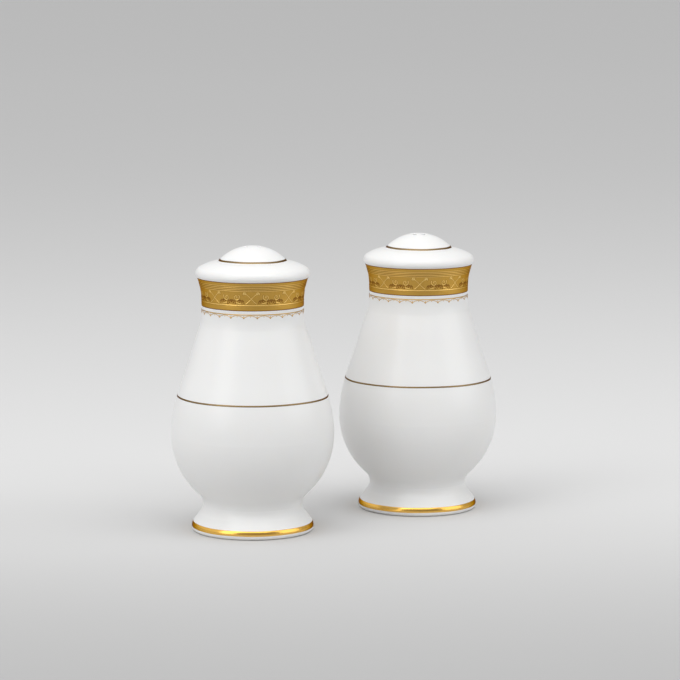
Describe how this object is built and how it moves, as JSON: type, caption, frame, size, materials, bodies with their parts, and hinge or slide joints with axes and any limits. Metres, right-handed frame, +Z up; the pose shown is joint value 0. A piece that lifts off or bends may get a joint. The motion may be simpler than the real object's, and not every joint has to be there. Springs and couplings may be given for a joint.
{
  "type": "cruet set",
  "caption": "Pear-shaped hollow porcelain shakers for salt and pepper, with a gilt collar under a pierced dome, gilt rings, a flared foot and a soft stopper in the base.",
  "frame": {"origin": "on the surface that the set stands on, midway between the axes of the two shakers", "axes": "+Z up, +X from the salt shaker to the pepper shaker, +Y across them"},
  "size_m": [0.1234, 0.054, 0.095],
  "materials": {
    "porcelain": "clear glossy glaze over white porcelain",
    "gilding": "fired gold, burnished on the raised parts",
    "stopper": "soft translucent white"
  },
  "bodies": {
    "salt_shaker": {"salt_body": "porcelain", "salt_collar": "gilding", "salt_border": "gilding", "salt_belly_line": "gilding", "salt_foot_band": "gilding", "salt_dome_line": "gilding"},
    "salt_stopper": {"salt_stopper": "stopper"},
    "pepper_shaker": {"pepper_body": "porcelain", "pepper_collar": "gilding", "pepper_border": "gilding", "pepper_belly_line": "gilding", "pepper_foot_band": "gilding", "pepper_dome_line": "gilding"},
    "pepper_stopper": {"pepper_stopper": "stopper"}
  },
  "joints": [
    {"name": "salt_stopper_pull", "type": "slide", "parent": "salt_shaker", "child": "salt_stopper", "axis": [0, 0, -1], "range_m": [0, 0.02]},
    {"name": "pepper_shaker_lift", "type": "slide", "parent": "salt_shaker", "child": "pepper_shaker", "axis": [0, 0, 1], "range_m": [0, 0.11]},
    {"name": "pepper_stopper_pull", "type": "slide", "parent": "pepper_shaker", "child": "pepper_stopper", "axis": [0, 0, -1], "range_m": [0, 0.02]}
  ]
}
